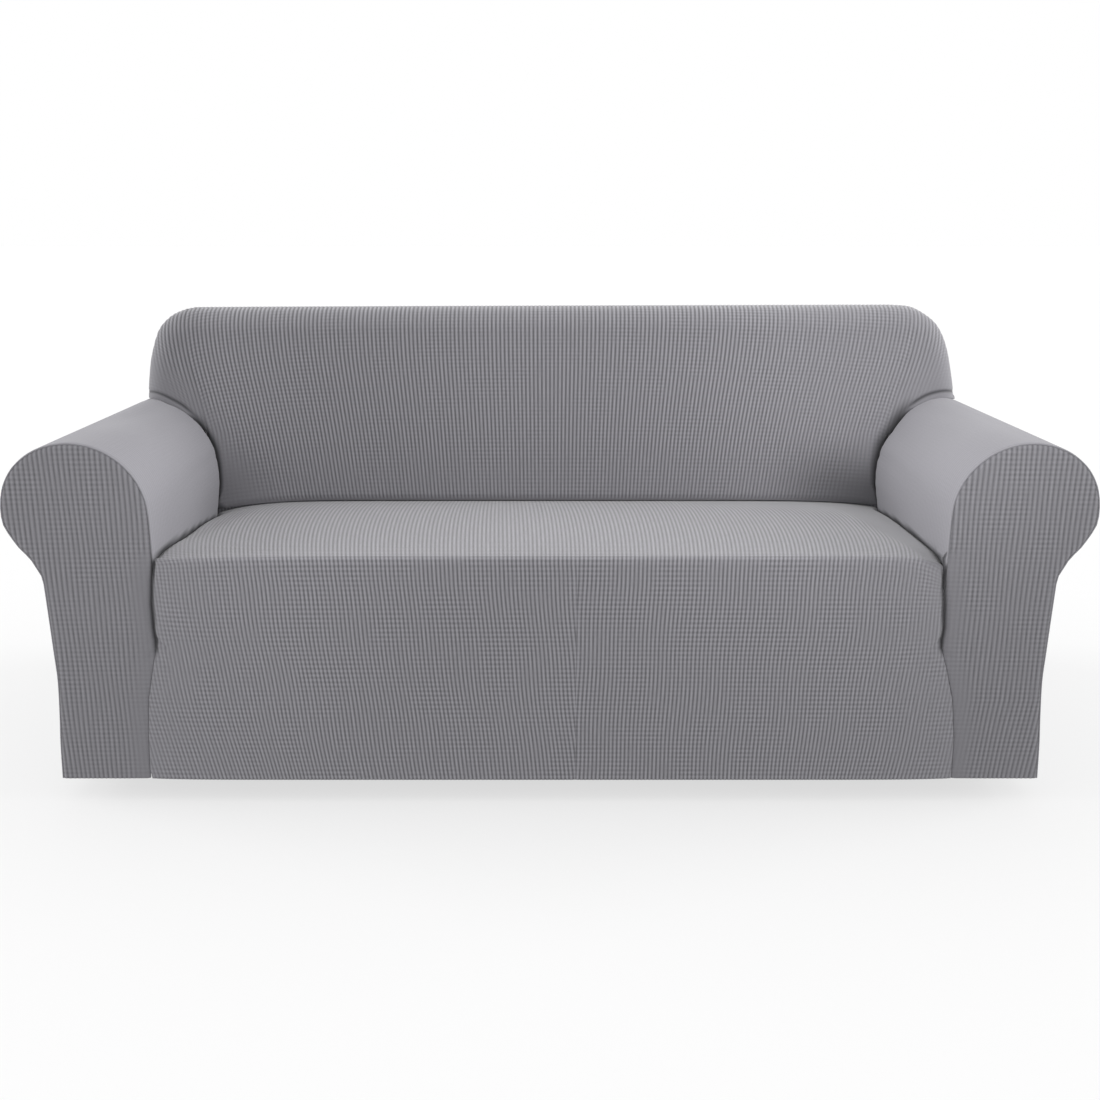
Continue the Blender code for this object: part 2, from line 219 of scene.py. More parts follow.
def clothMesh(name, outer, inner, x, u, v, look, flip):
    # both faces as squares, rings of the two faces' points along the four rims, then the
    # map "knit" (rib count, metres along) and the attribute "look" (rib share, painted crease shade)
    step = knit["liningStep"]
    squares, squaresAt, halves, halvesAt, top = gridFaces(mergedColumns(x), flip)
    lining = gridFaces(mergedColumns(x[:, ::step]), not flip)
    start = outer.shape[0] * outer.shape[1]
    inSquares, inSquaresAt, inHalves, inHalvesAt, below = [part + start for part in lining]
    rings = []
    for row, turn in ((0, flip), (-1, not flip)):  # the two end rows
        for j in range(below.shape[1] - 1):
            edge = list(top[row, j * step:(j + 1) * step + 1])
            rings.append((edge + [below[row, j + 1], below[row, j]], turn))
    for side, turn in ((0, not flip), (-1, flip)):  # the two side edges
        for r in range(len(top) - 1):
            ring = [top[r, side], top[r + 1, side], below[r + 1, side], below[r, side]]
            rings.append((ring, turn))
    rings = [(list(dict.fromkeys(ring)), turn) for ring, turn in rings]
    rims = [ring if turn else ring[::-1] for ring, turn in rings if len(ring) > 2]
    points = np.concatenate([outer.reshape(-1, 3), inner.reshape(-1, 3)])
    marks = np.stack([np.r_[u.ravel(), u[:, ::step].ravel()],
                      np.r_[v.ravel(), v[:, ::step].ravel()]], axis=1)
    groups = [squares, halves, inSquares, inHalves]
    corners = [squaresAt, halvesAt, inSquaresAt, inHalvesAt]
    used = np.zeros(len(points), bool)
    for group in groups:
        used[group.ravel()] = True
    place = np.cumsum(used) - 1
    faces = []
    for group in groups:
        faces += place[group].tolist()
    faces += [[int(place[k]) for k in ring] for ring in rims]
    uvs = [marks[part.ravel()] for part in corners]
    uvs += [marks[[k for ring in rims for k in ring]]]
    mesh = bpy.data.meshes.new(name)
    mesh.from_pydata((points[used] + toFrame).tolist(), [], faces)
    layer = mesh.uv_layers.new(name="knit")
    layer.data.foreach_set("uv", np.concatenate(uvs).astype(np.float32).ravel())
    share, shade = look
    both = [np.r_[part.ravel(), part[:, ::step].ravel()][used] for part in (share, shade)]
    values = np.stack(both + [np.zeros(len(both[0]))], axis=1)
    mesh.attributes.new("look", "FLOAT_VECTOR", "POINT")
    mesh.attributes["look"].data.foreach_set("vector", values.astype(np.float32).ravel())
    mesh.shade_smooth()
    mesh.update()
    print(name, sum(len(f) - 2 for f in faces), "triangles")
    return put(name, mesh)


def dress(piece, node, material):
    # material, body and the panel it stands for
    piece.data.materials.append(material)
    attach(piece, "root")
    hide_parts(node)


fabric = {
    # light and dark: rib tops and grooves, the grooves darker partly by the yarn's colour and partly by
    # painted shade; crease: the dark grey of the painted shade in creases, seams and corners
    "light": (0.272, 0.267, 0.289), "dark": (0.112, 0.11, 0.119), "crease": (0.018, 0.018, 0.02),
    "roughness": 0.92, "sheen": 0.25, "sheenRough": 0.5, "shine": 0.25,
    "thin": 1.5,  # power of the sine that colours a rib
    "middle": 0.556,  # mean of that power over a rib
    "barPitch": 0.009,  # the cross threads that break the ribs into a check
    "barAlways": 0.4,  # their part where no rib shows
    "barOnRib": 0.6,  # and the part that goes with the ribs
    "patch": 14.0,  # cells a metre of the patches where cross threads show
    "patchDetail": 2.0,
    "patchGain": 3.0,  # hardness of the patches' edges
    "patchDrop": -1.0,
    "uneven": 0.75,  # how far a rib's brightness wanders
    "unevenLong": 26.0,  # changes a metre along a rib
    "yarn": 1100.0,  # cells a metre
    "yarnTone": 0.3,
    "cloud": 3.0,  # cells a metre of the wide, faint noise
    "cloudDetail": 2.0,
    "cloudTone": 0.1,
    "bump": 0.5, "bumpDeep": 0.0006, "bumpYarn": 0.6, "bumpBars": 3.0,
}


def setSockets(node, values):
    # fixed values on a node's own sockets
    for key, value in values.items():
        node.inputs[key].default_value = value


def knitMaterial(name, ribs, bars, paintedLightShade=1.0, sheen=fabric["sheen"]):
    # Tone, from dark to light, is one half plus the rib's sine to a power less its mean, times rib
    # share and a slow noise along each rib, less the cross threads' sine in patches, plus a yarn
    # noise and a wide one. Painted shade: creases, seams and corners mix on towards dark grey by
    # their shade. The colours are scaled by a factor per copy: above one painted light, below one
    # painted shade.
    material = bpy.data.materials.new(name)
    material.use_nodes = True
    tree = material.node_tree
    nodes, links = tree.nodes, tree.links
    shader = nodes["Principled BSDF"]
    setSockets(shader, {"Roughness": fabric["roughness"], "Sheen Weight": sheen,
                        "Sheen Roughness": fabric["sheenRough"], "Specular IOR Level": fabric["shine"]})

    def node(kind, **settings):
        # a new node with its settings
        made = nodes.new("ShaderNode" + kind)
        for key, value in settings.items():
            setattr(made, key, value)
        return made

    def calc(operation, *values, clamp=False):
        # one sum, its inputs numbers or sockets
        made = node("Math", operation=operation, use_clamp=clamp)
        for socket, value in zip(made.inputs, values):
            if isinstance(value, (int, float)):
                socket.default_value = value
            else:
                links.new(value, socket)
        return made.outputs[0]

    def noise(vector, scale, detail):
        # noise from 0 to 1
        made = node("TexNoise")
        setSockets(made, {"Scale": scale, "Detail": detail})
        links.new(vector, made.inputs["Vector"])
        return made.outputs["Fac"]

    def split(vector):
        # the three parts of a vector
        made = node("SeparateXYZ")
        links.new(vector, made.inputs[0])
        return made.outputs

    across, along = split(node("UVMap", uv_map="knit").outputs["UV"])[:2]
    look = node("Attribute", attribute_name="look").outputs["Vector"]
    share, shade = split(look)[:2]
    place = node("TexCoord").outputs["Object"]
    wave = calc("ABSOLUTE", calc("SINE", calc("MULTIPLY", across, math.pi)))
    rib = calc("SUBTRACT", calc("POWER", wave, fabric["thin"]), fabric["middle"])
    strip = node("CombineXYZ")
    links.new(across, strip.inputs[0])
    links.new(calc("MULTIPLY", along, fabric["unevenLong"]), strip.inputs[1])
    wander = calc("MULTIPLY_ADD", noise(strip.outputs[0], 1.0, 1.0), 2.0 * fabric["uneven"],
                  1.0 - fabric["uneven"])
    rib = calc("MULTIPLY", calc("MULTIPLY", rib, wander), calc("MULTIPLY", share, ribs))
    patchy = calc("MULTIPLY_ADD", noise(place, fabric["patch"], fabric["patchDetail"]),
                  fabric["patchGain"], fabric["patchDrop"], clamp=True)
    thread = calc("SINE", calc("MULTIPLY", along, 2.0 * math.pi / fabric["barPitch"]))
    woven = calc("MULTIPLY_ADD", share, fabric["barOnRib"] * bars, fabric["barAlways"] * bars)
    check = calc("MULTIPLY", calc("MULTIPLY", thread, patchy), woven)
    yarn = calc("SUBTRACT", noise(place, fabric["yarn"], 1.0), 0.5)
    cloud = calc("SUBTRACT", noise(place, fabric["cloud"], fabric["cloudDetail"]), 0.5)
    tone = calc("SUBTRACT", calc("ADD", rib, 0.5), check)
    tone = calc("MULTIPLY_ADD", yarn, fabric["yarnTone"], tone)
    tone = calc("MULTIPLY_ADD", cloud, fabric["cloudTone"], tone, clamp=True)
    colour = node("Mix", data_type="RGBA")
    links.new(tone, colour.inputs["Factor"])
    dark, light = [(*[c * paintedLightShade for c in fabric[key]], 1.0) for key in ("dark", "light")]
    setSockets(colour, {"A": dark, "B": light})
    # painted shade: the knit's colour mixed towards dark grey by the look attribute's shade
    paintedShadeMix = node("Mix", data_type="RGBA")
    links.new(shade, paintedShadeMix.inputs["Factor"])
    links.new(colour.outputs["Result"], paintedShadeMix.inputs["A"])
    paintedShadeMix.inputs["B"].default_value = (*fabric["crease"], 1.0)
    links.new(paintedShadeMix.outputs["Result"], shader.inputs["Base Color"])
    bump = node("Bump")
    setSockets(bump, {"Strength": fabric["bump"], "Distance": fabric["bumpDeep"]})
    height = calc("SUBTRACT", calc("MULTIPLY", yarn, fabric["bumpYarn"]),
                  calc("MULTIPLY", check, fabric["bumpBars"]))
    links.new(height, bump.inputs["Height"])
    links.new(bump.outputs["Normal"], shader.inputs["Normal"])
    return material


# one knit in four copies, its colours scaled per copy: the arm's lighter (painted light), the fronts'
# and outside back's darker and the seat's a little darker (painted shade)
backKnit = knitMaterial("ribbed_knit_back", ribs=1.08, bars=0.16)
seatKnit = knitMaterial("ribbed_knit_seat", ribs=0.92, bars=0.24, paintedLightShade=0.98)
frontKnitPaintedShade = knitMaterial("ribbed_knit_front", ribs=0.62, bars=0.16, paintedLightShade=0.88)
armKnitPaintedLight = knitMaterial("ribbed_knit_arm_painted_light", ribs=0.14, bars=0.02, paintedLightShade=1.15, sheen=0.08)
print("knit ready")


roll = {
    "x": 0.8455, "z": 0.5115, "radius": 0.1295,
    "swell": 0.0042, "swellAt": 38.0, "swellPower": 6,  # a slight bulge high on the outside
    "from": 180.0, "to": -6.0,  # degrees
}
armTuck = ((0.7145, 0.375), (0.715, 0.42), (0.7155, 0.45))  # x, z upward
armSide = (  # x, z downward
    (0.964, 0.4742), (0.9497, 0.451), (0.9352, 0.435), (0.9245, 0.415), (0.9162, 0.396),
    (0.9143, 0.363), (0.9115, 0.251), (0.9105, 0.198), (0.9145, 0.131), (0.9195, 0.07),
    (0.923, 0.0),
)
seamTable = np.array((  # z, then x of the seam between apron and arm front, left and right
    (0.0, 0.757, 0.76), (0.08, 0.753, 0.758), (0.16, 0.746, 0.748),
    (0.22, 0.733, 0.732), (0.262, 0.7235, 0.719), (0.3, 0.7262, 0.7215),
    (0.345, 0.7262, 0.719), (0.39, 0.7215, 0.713), (0.434, 0.7135, 0.708),
))
back = {
    "footY": 0.525, "footZ": 0.415, "rake": 0.36,
    "crown": 0.01, "crownHalf": 0.8, "crownFrom": 0.4, "crownTall": 0.44,
    "footSink": 0.012, "seatSink": 0.004, "sinkWide": 0.014,  # into the arms, into the seat
    "edgeRound": 0.05, "edgeDeep": 0.04, "topFall": 0.02, "endNarrow": 0.004,
    "lift": 0.003, "footEnd": 66.0,
    "jointHigh": 0.014, "jointWide": 0.0034, "jointDeep": 0.004,  # the seam over the roll
    # the joint's dark value is painted shade along the seam's groove over the roll
    "jointFrom": 0.775, "jointFull": 0.825, "jointShade": 0.7, "jointBand": 0.006,
    "footOut": (0.05, -0.003),  # its foot line, carried outwards
}
backEdge = np.array((  # x, z of the back's outline, left then right, from arm to middle
    (0.9112, 0.6318, 0.915, 0.6296), (0.9118, 0.653, 0.9157, 0.6515),
    (0.9108, 0.682, 0.911, 0.6945), (0.9076, 0.719, 0.9052, 0.7315),
    (0.8965, 0.765, 0.8953, 0.7644), (0.8848, 0.7885, 0.8803, 0.7912),
    (0.864, 0.808, 0.8563, 0.8113), (0.8415, 0.8188, 0.8255, 0.827),
    (0.815, 0.825, 0.7904, 0.831), (0.77, 0.8265, 0.73, 0.8317),
    (0.4, 0.8283, 0.4, 0.8308), (0.0, 0.8297, 0.0, 0.8297),
))
arm = {
    "groove": 0.014, "grooveWide": 0.03, "grooveRound": (52.0, 68.0), "tuck": 0.012,
    "ribPitch": 0.0082, "relief": 0.35, "long": 0.9,
    "front": 0.0016, "frontCurl": 0.0025, "curlWide": 0.007, "frontFade": 0.008, "backFade": 0.006,
    "leans": (0.1, 0.38),  # each pair is a ramp: its start and its width
    "toRear": (0.868, 0.026), "toSeat": (0.002, 0.03), "seatGap": 0.0014,
    # painted shade along the creases with the back and the seat
    "creaseShade": 0.88, "creaseBack": (0.004, 0.014), "creaseLow": (-0.001, 0.007),
}
armLean = (  # place round the roll, then the left and right arm's drawing-in
    (60.0, 0.0, 0.0), (70.0, 0.004, 0.001), (85.0, 0.0185, 0.0085),
    (100.0, 0.027, 0.017), (113.0, 0.033, 0.0225), (126.0, 0.036, 0.0285),
    (142.0, 0.0372, 0.032), (155.0, 0.0358, 0.0292), (172.0, 0.0305, 0.0205),
    (192.0, 0.025, 0.013), (230.0, 0.02, 0.0085), (262.0, 0.0212, 0.0105),
    (300.0, 0.024, 0.0145),
)


def backOutline(side, count):
    # curve through half the back's outline
    return curveThrough(backEdge[:, 2:] if side > 0 else backEdge[:, :2], count)


def edgeRise(z):
    # height above the outline's foot, as a share of the whole outline's
    low, high = backEdge[0, 1], backEdge[-1, 1]
    return np.clip((z - low) / (high - low), 0.0, 1.0)


def rollArc(first, last, step=6.0):
    # circle of the roll, its radius swollen by a narrow cosine lobe
    count = max(2, int(abs(last - first) / step) + 1)
    a = np.radians(np.linspace(first, last, count))
    lobe = np.maximum(0.0, np.cos(a - math.radians(roll["swellAt"]))) ** roll["swellPower"]
    radius = roll["radius"] + roll["swell"] * lobe
    return np.stack([roll["x"] + radius * np.cos(a), roll["z"] + radius * np.sin(a)], axis=1)


def faceY(x, z):
    # raked plane less a crown: a parabola across times half a sine wave upward
    crown = back["crown"] * np.clip(1.0 - (x / back["crownHalf"]) ** 2, 0.0, 1.0)
    rise = np.clip((z - back["crownFrom"]) / back["crownTall"], 0.0, 1.0)
    crown = crown * np.sin(np.pi * rise)
    return back["footY"] + back["rake"] * (z - back["footZ"]) - crown


def creaseY(x, z):
    # the back's face, moved to the rear by its sink
    return faceY(x, z) + back["footSink"]


def station(x, z):
    # place round the roll: its angle, and below it 180 plus the millimetres down
    angle = np.degrees(np.arctan2(z - roll["z"], x - roll["x"]))
    below = 180.0 + (roll["z"] - z) * 1000.0
    return np.where((x < roll["x"]) & (z < roll["z"]), below, angle)


def leanShare(y):
    # how far the drawing-in has grown: an even ramp, 0 at the front to 1 at the back
    return grows(y, *arm["leans"])


leanTable = curveThrough(armLean, 400)


def leanAt(place, side):
    # drawing-in at the back, read from the smooth curve through the table
    return np.interp(place, leanTable[:, 0], leanTable[:, 2 if side > 0 else 1])


def grooveShare(place):
    # 1 on the arm's inner side, an even ramp over the top of the roll, 0 outside
    return grows(place, *arm["grooveRound"])


def outwardOf(section):
    # unit normal of a line in the x z plane: its direction turned a quarter
    along = np.gradient(section, axis=0)
    out = np.stack([-along[:, 1], along[:, 0]], axis=1)
    return out / np.linalg.norm(out, axis=1)[:, None]


def seamX(z, side):
    # seam between apron and arm front, read from the table
    return np.interp(z, seamTable[:, 0], seamTable[:, 2 if side > 0 else 1])


def seatSideX(y, z, side):
    # half the seat's width: the front seam, then the arm's inner face behind it
    inner = armTuck[0][0]
    sunk = fades(creaseY(inner, z) - y, 0.0, arm["grooveWide"])
    armFace = inner + leanAt(station(inner, z), side) * leanShare(y) + arm["groove"] * sunk
    armFace = armFace - arm["seatGap"]
    behind = grows(y, *arm["toSeat"])
    return (seamX(z, side) - knit["seam"]) * (1.0 - behind) + armFace * behind


seat = {
    "ribPitch": 0.00755, "ribs": 214, "centre": 0.048,
    "flat": 12.0, "crown": (7.0, 18.0), "crownRear": 9.0, "crownEase": 0.3,  # powers of the arches
    "edgeDip": 0.006, "dipWide": 0.014,
    "fan": (0.53, 0.43), "fanEase": (0.57, 0.56),  # the deck's ribs, left and right
    "leanLeft": 0.05, "leanLeftMore": 0.08, "leanRight": -0.03,
    "hemPull": 0.19, "pullFrom": 0.12, "pullOut": (0.4, 0.3),
    "waver": 0.0009, "waverLong": 31.0, "waverWide": 9.0, "waverEase": 0.05,
    "seamSink": 0.006, "seamWide": 0.012,
    "crestZ": 0.43,  # where the apron turns into the deck
    "deck": (-0.004, 0.03), "deckTurn": 0.02,
    "deckRelief": 0.75, "sideFade": 0.006, "meetFade": 0.006,
}
seam = {  # between apron and arm front: nearly closed low down, dark higher up
    # dark and darkens: painted shade along the seam's upper part, and the height where it starts
    "low": 0.04, "deep": (0.235, 0.05), "dark": 0.85, "darkens": (0.24, 0.025),
}
# the shades below are painted shade, darkening the knit's colour
seatLook = {  # rib shares and shades; each pair is a ramp's start and width
    "bySeam": 0.42, "seamFade": 0.09, "seamOut": (0.0015, 0.006),
    "plain": 0.8, "plainOut": (0.0, 0.05), "plainUp": (0.32, 0.06),
    "deck": 0.92, "sides": 0.6, "sidesOut": (0.0, 0.1),
    "rear": 0.3, "rearRight": 0.6, "toRear": (0.38, 0.08), "toRight": (0.3, 0.2),
    # wedge: painted shade on the deck where it falls away to the right arm
    "wedge": 0.14, "wedgeEdge": 0.024,
    # painted shade along the creases with the arms and the back
    "crease": 0.88, "creaseBack": (0.002, 0.02), "creaseOut": (0.003, 0.009),
    "rearShade": 0.45, "rearZ": 0.415, "rearOut": (0.0, 0.004),
}
seatRows = (  # y middle, z middle, z of the left and right sides
    (-0.006, 0.0, 0.0, 0.0), (-0.008, 0.08, 0.08, 0.08),
    (-0.01, 0.16, 0.16, 0.16), (-0.013, 0.235, 0.235, 0.235),
    (-0.0145, 0.262, 0.262, 0.262), (-0.017, 0.3, 0.3, 0.3),
    (-0.019, 0.345, 0.345, 0.34), (-0.02, 0.39, 0.388, 0.374),
    (-0.0198, 0.42, 0.411, 0.39), (-0.017, 0.434, 0.422, 0.4),
    (-0.01, 0.4392, 0.4275, 0.408), (0.005, 0.4405, 0.431, 0.419),
    (0.06, 0.4408, 0.4355, 0.4305), (0.145, 0.4395, 0.431, 0.429),
    (0.24, 0.4365, 0.421, 0.4245), (0.34, 0.432, 0.4085, 0.418),
    (0.43, 0.425, 0.396, 0.409), (0.48, 0.42, 0.389, 0.403),
    (0.515, 0.416, 0.385, 0.399), (0.55, 0.412, 0.382, 0.395),
)
# beyond this line the deck also takes a painted shade
wedge = np.array((  # y, then x where the cloth near the right arm turns smooth
    (0.0, 0.66), (0.05, 0.656), (0.3, 0.622), (0.45, 0.6), (0.52, 0.55),
))
drift = np.array((  # rib's place on the crest, then its shift per square metre behind
    (-0.9, -0.05), (-0.55, -0.05), (-0.38, -0.01), (-0.2, 0.0),
    (-0.08, -0.045), (0.05, -0.06), (0.22, 0.0), (0.42, -0.03), (0.9, -0.03),
))
apronFolds = (  # x0, z0, x1, z1, width, depth: pinches beside the two seams
    (-0.721, 0.28, -0.7, 0.262, 0.005, -0.004),
    (-0.72, 0.264, -0.702, 0.27, 0.004, 0.0022),
    (-0.723, 0.25, -0.695, 0.22, 0.008, -0.002),
    (-0.72, 0.315, -0.706, 0.39, 0.009, -0.003),
    (0.718, 0.28, 0.7, 0.264, 0.005, -0.0036),
    (0.716, 0.256, 0.696, 0.24, 0.006, 0.0018),
    (0.717, 0.32, 0.704, 0.4, 0.009, -0.003),
)
deckFolds = (  # x0, y0, x1, y1, width, depth: soft troughs on the deck
    (0.7, 0.03, 0.64, 0.24, 0.026, -0.004),
    (-0.7, 0.16, -0.67, 0.42, 0.026, -0.003),
)


def seamDepth(z):
    # the seam's sink: a small share low down, then an even ramp to all of it
    return seam["low"] + (1.0 - seam["low"]) * grows(z, *seam["deep"])


def makeSeat():
    # one cloth from the hem up the apron and back over the deck
    fine = curveThrough(seatRows, 700)
    run = lengthAlong(fine[:, :2])
    crest = run[np.argmax(fine[:, 1] > seat["crestZ"])]
    end = run[-1]

    def profile(v):
        # y and z of the middle, z of the left and right sides, read from the curve
        return [np.interp(v, run, fine[:, k]) for k in range(4)]

    def halfWide(x, v):
        # half the width at each point's side: the seam or the arm at that side's own height
        yMid, zMid, zLeft, zRight = profile(v)
        ySide = np.maximum(yMid, 0.0)
        return np.where(x < 0, seatSideX(ySide, zLeft, -1), seatSideX(ySide, zRight, 1))

    def surface(x, v):
        # between the two sides each row is one less a power of its place: a flat-topped bulge
        # in y and an arch in z, with a dip at the deck's sides and a sink at the apron's seams
        yMid, zMid, zLeft, zRight = profile(v)
        zSide = np.where(x < 0, zLeft, zRight)
        ySide = np.maximum(yMid, 0.0)
        half = halfWide(x, v)
        a = np.clip(np.abs(x) / half, 0.0, 1.0)
        away = half * (1.0 - a)
        crown = np.where(x < 0, *seat["crown"])
        crown = crown + (seat["crownRear"] - crown) * smooth(yMid / seat["crownEase"])
        y = ySide + (yMid - ySide) * (1.0 - a ** seat["flat"])
        z = zSide + (zMid - zSide) * (1.0 - a ** crown)
        onDeck = grows(yMid, *seat["deck"])
        z = z - seat["edgeDip"] * onDeck * fades(away, 0.0, seat["dipWide"])
        sink = seat["seamSink"] * seamDepth(zMid) * fades(away, 0.0, seat["seamWide"])
        y = y + (1 - onDeck) * sink
        z = z + onDeck * foldField(x, yMid, deckFolds)
        y = y - (1 - onDeck) * foldField(x, zMid, apronFolds)
        return np.stack([x, y, z], axis=-1)

    # rows: finer at the hem, at the seams' hooks and where the apron turns into the deck
    rows = spaced((0.0, 0.004, 0.002), (0.004, 0.2, 0.0135), (0.2, 0.3, 0.0055),
                  (0.3, crest - 0.02, 0.012), (crest - 0.02, crest + 0.03, 0.0045),
                  (crest + 0.03, end - 0.08, 0.0155), (end - 0.08, end, 0.01))

    # lines: even on the crest, fanning out behind it and leaning below it
    columns = np.arange(seat["ribs"] * knit["perRib"] + 1) / knit["perRib"] - seat["ribs"] / 2
    atCrest = columns * seat["ribPitch"]
    yMid, zMid, zLeft, zRight = profile(rows)
    behind = np.maximum(rows - crest, 0.0)[:, None]
    below = np.maximum(crest - rows, 0.0)[:, None]
    fan, ease = [np.where(atCrest < 0, *seat[key]) for key in ("fan", "fanEase")]
    spread = 1.0 + fan * behind - ease * behind ** 2
    left = atCrest < seat["centre"]
    lean = np.where(left, seat["leanLeft"] * below + seat["leanLeftMore"] * below ** 2,
                    seat["leanRight"] * below)
    pull = seat["hemPull"] * np.maximum(below - seat["pullFrom"], 0.0) ** 2
    lean = lean - np.sign(atCrest) * pull * grows(np.abs(atCrest), *seat["pullOut"])
    waver = np.sin(rows[:, None] * seat["waverLong"] + atCrest * seat["waverWide"])
    wander = seat["waver"] * waver * smooth(below / seat["waverEase"])
    shift = np.interp(atCrest, drift[:, 0], drift[:, 1]) * behind ** 2
    lines = atCrest * spread + lean + wander + shift
    apart = np.where(left, np.minimum(lines, seat["centre"]), np.maximum(lines, seat["centre"]))
    lines = np.where(below > 0, apart, lines)  # the two leans meet on the apron only
    ySide = np.maximum(yMid, 0.0)
    low = -seatSideX(ySide, zLeft, -1)[:, None]
    high = seatSideX(ySide, zRight, 1)[:, None]

    def raised(x, v, u):
        # relief times the rib's shape, lower on the deck, fading at both sides and where the
        # leans meet
        onDeck = grows(v, crest, seat["deckTurn"])
        edge = smooth(np.minimum(x - low, high - x) / seat["sideFade"])
        atMeet = 1 - (1 - onDeck) * (1 - smooth(np.abs(x - seat["centre"]) / seat["meetFade"]))
        relief = knit["relief"] * (1.0 - (1.0 - seat["deckRelief"]) * onDeck)
        return relief * edge * atMeet * look(x, v)[0] * ribShape(u)

    def look(x, v):
        # rib share: fading beside the seams, the arms and the back, none in the wedge by the
        # right arm. Painted shade: the strongest of the creases, the seams and the sloping wedge.
        part = seatLook
        yMid, zMid = profile(v)[:2]
        onDeck = grows(v, crest, seat["deckTurn"])
        away = halfWide(x, v) - np.abs(x)
        inWedge = onDeck * grows(x, np.interp(yMid, *wedge.T), part["wedgeEdge"])
        onApron = part["bySeam"] + (1.0 - part["bySeam"]) * (1.0 - np.exp(-away / part["seamFade"]))
        plain = (x > 0) * fades(away, *part["plainOut"]) * grows(v, *part["plainUp"])
        onApron = onApron * (1.0 - part["plain"] * plain)
        onTop = (1.0 - inWedge) * (1.0 - part["sides"] * fades(away, *part["sidesOut"]))
        rear = part["rear"] + part["rearRight"] * grows(x, *part["toRight"])
        onTop = part["deck"] * onTop * (1.0 - rear * grows(yMid, *part["toRear"]))
        share = onApron * (1.0 - onDeck) + onTop * onDeck

        crease = part["crease"] * grows(yMid, *part["creaseBack"]) * fades(away, *part["creaseOut"])
        toBack = faceY(x, part["rearZ"]) + back["seatSink"] - yMid
        atBack = part["rearShade"] * fades(toBack, *part["rearOut"])
        atSeam = seam["dark"] * (1.0 - onDeck) * fades(away, *part["seamOut"])
        atSeam = atSeam * grows(zMid, *seam["darkens"])
        return share, np.maximum.reduce([crease, atBack, atSeam, part["wedge"] * inWedge])

    piece = layCloth("seat_cloth", rows, lines, low, high, surface, raised, look)
    dress(piece, "seat_panel", seatKnit)


def makeArm(word, side):
    # one cloth from the seat up the arm's inner side, over the roll and down to the hem
    arc = rollArc(roll["from"], roll["to"], 15.0)
    section = curveThrough(np.vstack([armTuck, arc, armSide]), 600)
    out = outwardOf(section)
    run = lengthAlong(section)
    place = station(section[:, 0], section[:, 1])
    sink = arm["groove"] * grooveShare(place)
    lean = leanAt(place, side)
    sunk = section - out * (sink + lean)[:, None]
    crease = creaseY(sunk[:, 0], sunk[:, 1])
    x, z = section.T
    beyond = np.where(z < roll["z"], (x > roll["x"]).astype(float), grows(x, *arm["toRear"]))
    last = (1.0 - beyond) * (crease + arm["tuck"]) + beyond * atRear
    table = np.stack([*section.T, *out.T, sink, lean, crease], axis=1)

    def surface(y, v):
        # the section carried back, moved inwards by drawing-in, the sink at the crease and a
        # quarter circle's fall at the front
        px, pz, ox, oz, depth, drawn, foldAt = [np.interp(v, run, table[:, k]) for k in range(7)]
        inset = depth * fades(foldAt - y, 0.0, arm["grooveWide"]) + drawn * leanShare(y)
        inset = inset + arm["frontCurl"] * rimFall(y, arm["curlWide"])
        return np.stack([side * (px - ox * inset), y, pz - oz * inset], axis=-1)

    end = run[-1]
    rows = spaced((0.0, 0.5, 0.0085), (0.5, end - 0.004, 0.016), (end - 0.004, end, 0.002))
    ends = np.interp(rows, run, last)[:, None]
    start = np.full_like(ends, arm["front"])
    lines = evenLines(0.0, arm["long"], arm["ribPitch"], rows)

    def raised(y, v, u):
        # shallow ribs: relief times the rib's shape, fading at both ends
        edge = smooth((y - start) / arm["frontFade"]) * smooth((ends - y) / arm["backFade"])
        return arm["relief"] * knit["relief"] * edge * ribShape(u)

    deck = np.array(seatRows)
    deck = deck[np.argmax(deck[:, 1] > seat["crestZ"]) + 1:]

    def look(y, v):
        # full ribs; painted shade where the distance to the back or the seat is small
        foldAt, depth = np.interp(v, run, crease), np.interp(v, run, sink) / arm["groove"]
        height, sideways = np.interp(v, run, section[:, 1]), np.interp(v, run, section[:, 0])
        seatZ = np.interp(y, deck[:, 0], deck[:, 3 if side > 0 else 2])
        low = fades(height - seatZ, *arm["creaseLow"]) * (sideways < roll["x"])
        atBack = depth * fades(foldAt - y, *arm["creaseBack"])
        return np.ones_like(y), arm["creaseShade"] * np.maximum(atBack, low)

    piece = layCloth("arm_cloth_" + word, rows, lines, start, ends, surface, raised, look,
                     flip=side < 0)
    dress(piece, "arm_panel_" + word, armKnitPaintedLight)


armFront = {
    "ribPitch": 0.0091, "relief": 0.85, "rimFade": 0.007, "wide": 0.3, "inner": 0.7,
    "middle": 0.83, "gather": 0.05, "lean": 0.1, "leanBelow": 0.16,
    "waver": 0.0008, "waverLong": 23.0, "waverWide": 40.0,
    "curl": 0.003, "curlWide": 0.01, "seamSink": 0.005, "seamWide": 0.01,
    "seamUp": (0.43, 0.02), "lookUp": (0.43, 0.03),  # ramps: start and width
    # the last ramp is where the painted shade beside the seam fades
    "plain": 0.85, "plainOut": (0.012, 0.04), "darkOut": (0.001, 0.005),
}
frontFolds = {  # x0, z0, x1, z1, width, depth
    "left": ((-0.724, 0.26, -0.742, 0.245, 0.005, -0.003),
             (-0.723, 0.272, -0.74, 0.278, 0.0045, -0.0022),
             (-0.729, 0.3, -0.734, 0.41, 0.008, -0.002)),
    "right": ((0.72, 0.26, 0.738, 0.245, 0.005, -0.0026),
              (0.718, 0.274, 0.734, 0.282, 0.0045, -0.002),
              (0.712, 0.43, 0.733, 0.455, 0.005, -0.0026),
              (0.715, 0.42, 0.74, 0.433, 0.005, -0.0016)),
}


